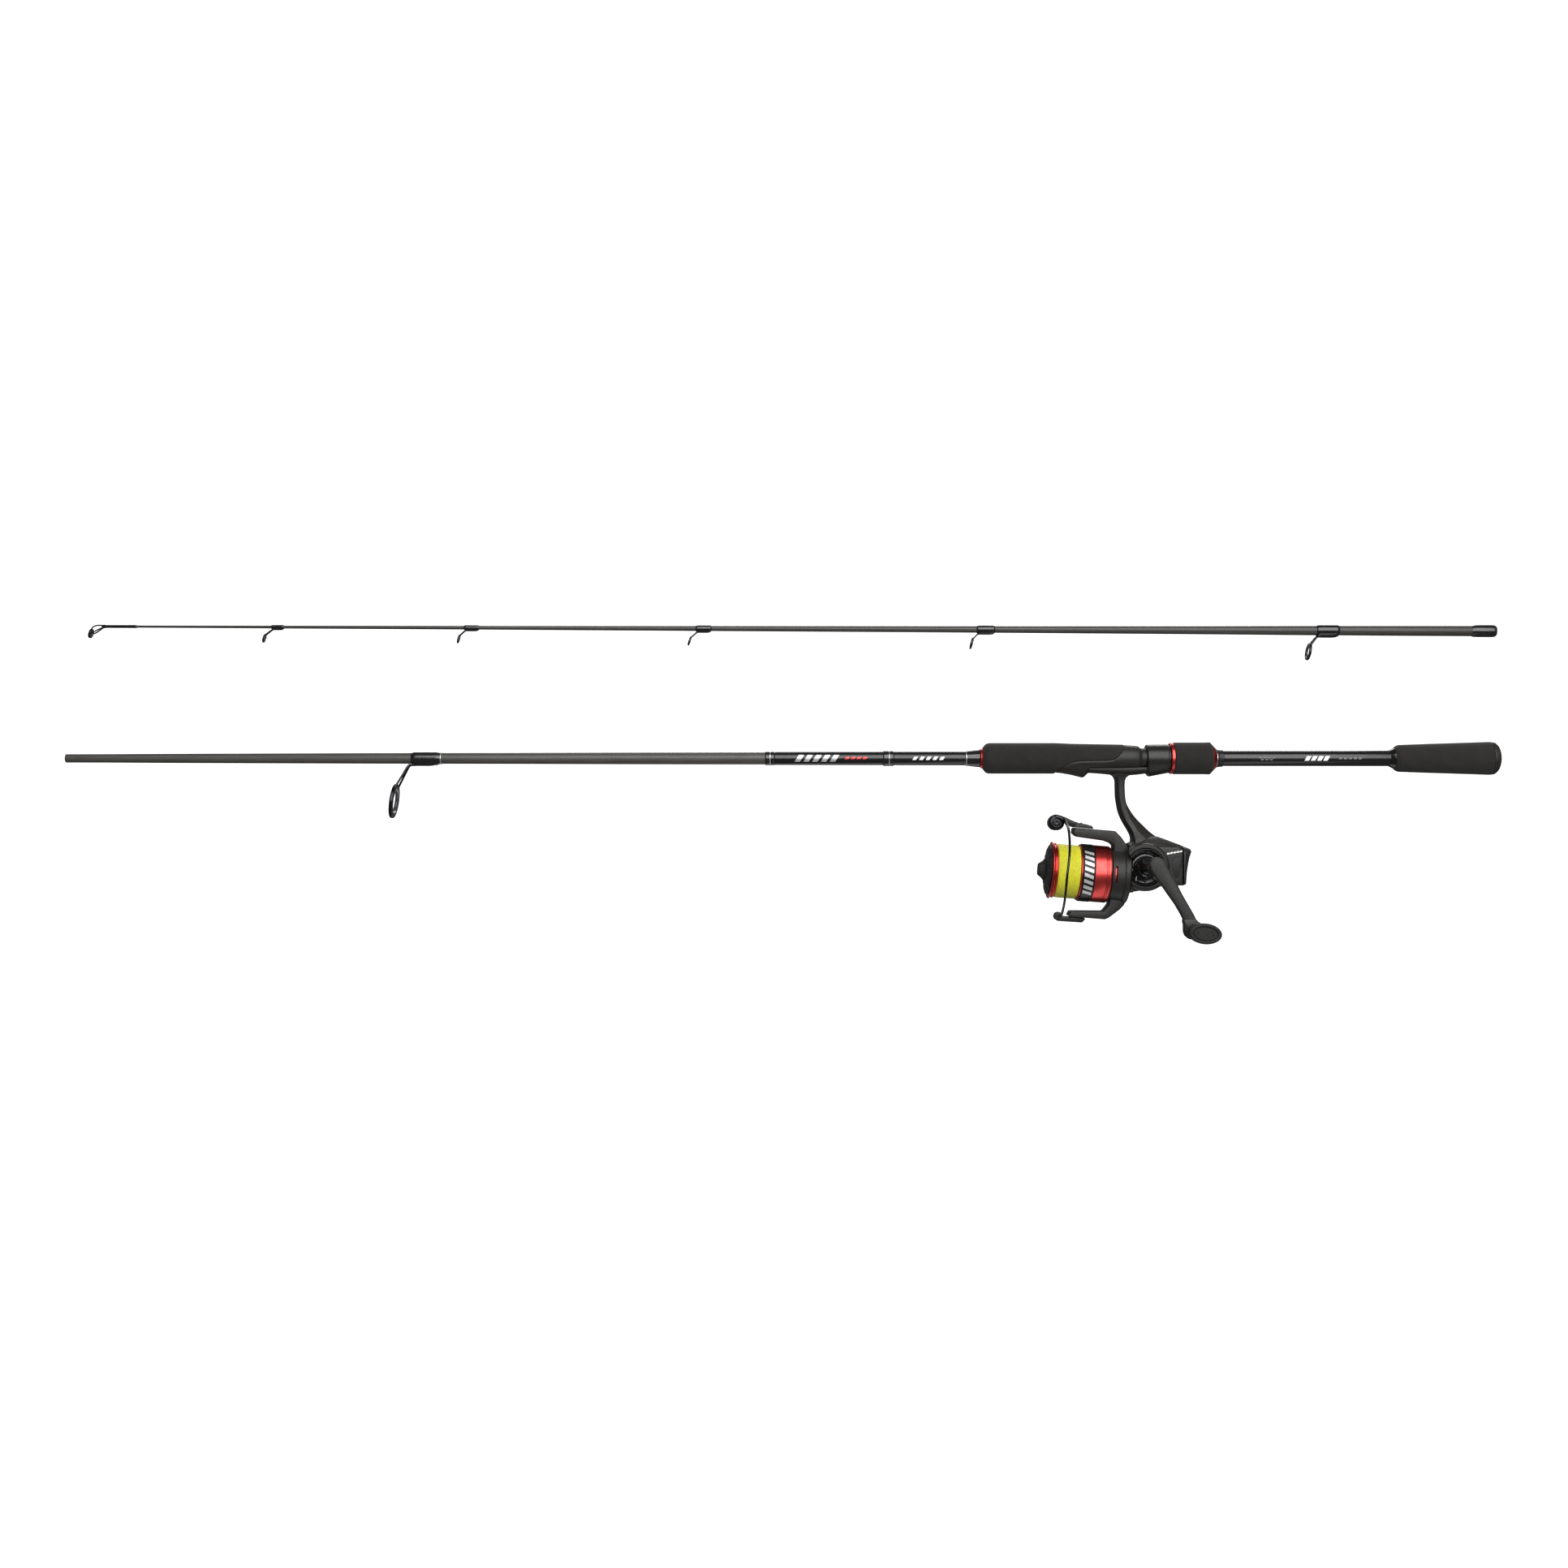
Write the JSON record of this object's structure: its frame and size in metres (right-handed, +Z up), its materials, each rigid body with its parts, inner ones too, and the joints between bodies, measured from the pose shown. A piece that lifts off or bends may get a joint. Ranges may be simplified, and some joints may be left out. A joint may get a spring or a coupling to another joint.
{
  "type": "fishing rod and reel",
  "caption": "Two-piece spinning rod lying in two parallel sections, with a fixed-spool reel clamped under its grip, line guides, foam grips, red rings and yellow braid wound on the spool.",
  "frame": {"origin": "on the rod's axis, above the reel's stem, where the angler's hand closes round the seat", "axes": "+X along the rod towards its butt, +Z up with the reel hanging below, +Y to the side away from the handle"},
  "size_m": [1.1135, 0.1175, 0.24],
  "materials": {
    "carbon": "satin, wound carbon fibre blank",
    "epoxy": "gloss, thread under clear coat",
    "foam": "matt closed-cell EVA foam",
    "plastic": "satin moulded plastic",
    "gloss_plastic": "gloss moulded plastic",
    "red_metal": "red anodised",
    "dark_metal": "black plated",
    "steel": "plain",
    "brass": "machined",
    "ceramic": "polished",
    "braid": "braided line, wound",
    "felt": "pressed fibre"
  },
  "bodies": {
    "rod": {"butt_blank": "carbon", "butt_guide_frame": "dark_metal", "butt_guide_ring": "ceramic", "butt_guide_wrap": "epoxy", "grip_taper_wrap": "epoxy", "front_winding_check": "red_metal", "fore_grip": "foam", "reel_seat": "plastic", "rear_winding_check": "gloss_plastic", "rear_grip": "foam", "butt_cap": "plastic", "reel_body": "plastic", "side_cover": "gloss_plastic", "rear_cover": "plastic", "drive_bearing_left": "steel", "drive_bearing_right": "steel", "pinion_bearing": "steel", "one_way_clutch": "steel"},
    "tip_section": {"tip_blank": "carbon", "ferrule_wrap": "epoxy", "tip_top": "dark_metal", "tip_top_ring": "ceramic", "guide_frame_1": "dark_metal", "guide_frame_2": "dark_metal", "guide_frame_3": "dark_metal", "guide_frame_4": "dark_metal", "guide_frame_5": "dark_metal", "guide_ring_1": "ceramic", "guide_ring_2": "ceramic", "guide_ring_3": "ceramic", "guide_ring_4": "ceramic", "guide_ring_5": "ceramic"},
    "hood": {"moving_hood": "plastic"},
    "lock_nut": {"lock_nut": "plastic", "lock_nut_grip": "foam", "nut_front_ring": "red_metal", "nut_rear_ring": "red_metal"},
    "handle": {"drive_gear": "brass", "handle_arm": "plastic", "knob_spindle": "steel", "handle_screw_cap": "plastic"},
    "knob": {"handle_knob": "plastic", "knob_cap": "plastic"},
    "oscillation_gear": {"oscillation_gear": "brass"},
    "rotor": {"rotor": "plastic", "pinion_gear": "brass", "rotor_nut": "steel", "bail_spring": "steel"},
    "bail": {"bail_arm": "plastic", "bail_wire": "dark_metal", "bail_holder": "plastic"},
    "line_roller": {"line_roller": "steel"},
    "main_shaft": {"main_shaft": "steel", "oscillation_slider": "brass"},
    "spool": {"spool": "red_metal", "spool_lip": "red_metal", "spool_band": "plastic", "line_winding": "braid", "drag_washers": "felt"},
    "drag_knob": {"drag_knob": "plastic"}
  },
  "joints": [
    {"name": "tip_section_slide", "type": "slide", "parent": "rod", "child": "tip_section", "axis": [-1, 0, 0.0034], "range_m": [0, 0.08]},
    {"name": "hood_slide", "type": "slide", "parent": "rod", "child": "hood", "axis": [1, 0, 0], "range_m": [0, 0.012]},
    {"name": "lock_nut_turn", "type": "hinge", "parent": "hood", "child": "lock_nut", "pos_m": [0.0575, 0, 0], "axis": [1, 0, 0], "range_deg": [0, 2160]},
    {"name": "handle_turn", "type": "hinge", "parent": "rod", "child": "handle", "pos_m": [0.0165, -0.05, -0.083], "axis": [0, -1, 0], "continuous": true},
    {"name": "knob_spin", "type": "hinge", "parent": "handle", "child": "knob", "pos_m": [0.0455, -0.075, -0.129], "axis": [0, 1, 0], "continuous": true},
    {"name": "oscillation_gear_turn", "type": "hinge", "parent": "rod", "child": "oscillation_gear", "pos_m": [0.031, 0, -0.088], "axis": [0, -1, 0], "continuous": true},
    {"name": "rotor_spin", "type": "hinge", "parent": "rod", "child": "rotor", "pos_m": [0.0057, 0, -0.0916], "axis": [-0.9968, 0, 0.0802], "continuous": true},
    {"name": "bail_flip", "type": "hinge", "parent": "rotor", "child": "bail", "pos_m": [-0.02899, 0, -0.08881], "axis": [-0.0802, 0, -0.9968], "range_deg": [0, 125]},
    {"name": "line_roller_spin", "type": "hinge", "parent": "bail", "child": "line_roller", "pos_m": [-0.04916, 0, -0.05027], "axis": [0, 1, 0], "continuous": true},
    {"name": "spool_oscillation", "type": "slide", "parent": "rod", "child": "main_shaft", "axis": [-0.9968, 0, 0.0802], "range_m": [0, 0.014]},
    {"name": "spool_drag_turn", "type": "hinge", "parent": "main_shaft", "child": "spool", "pos_m": [0.0057, 0, -0.0916], "axis": [-0.9968, 0, 0.0802], "continuous": true},
    {"name": "drag_knob_turn", "type": "hinge", "parent": "main_shaft", "child": "drag_knob", "pos_m": [0.0057, 0, -0.0916], "axis": [-0.9968, 0, 0.0802], "range_deg": [-360, 1080]}
  ],
  "couplings": [
    {"joint": "hood_slide", "follows": "lock_nut_turn", "m_per_rad": 0.00031831},
    {"joint": "rotor_spin", "follows": "handle_turn", "ratio": 5.1667},
    {"joint": "oscillation_gear_turn", "follows": "handle_turn", "ratio": -0.85}
  ]
}
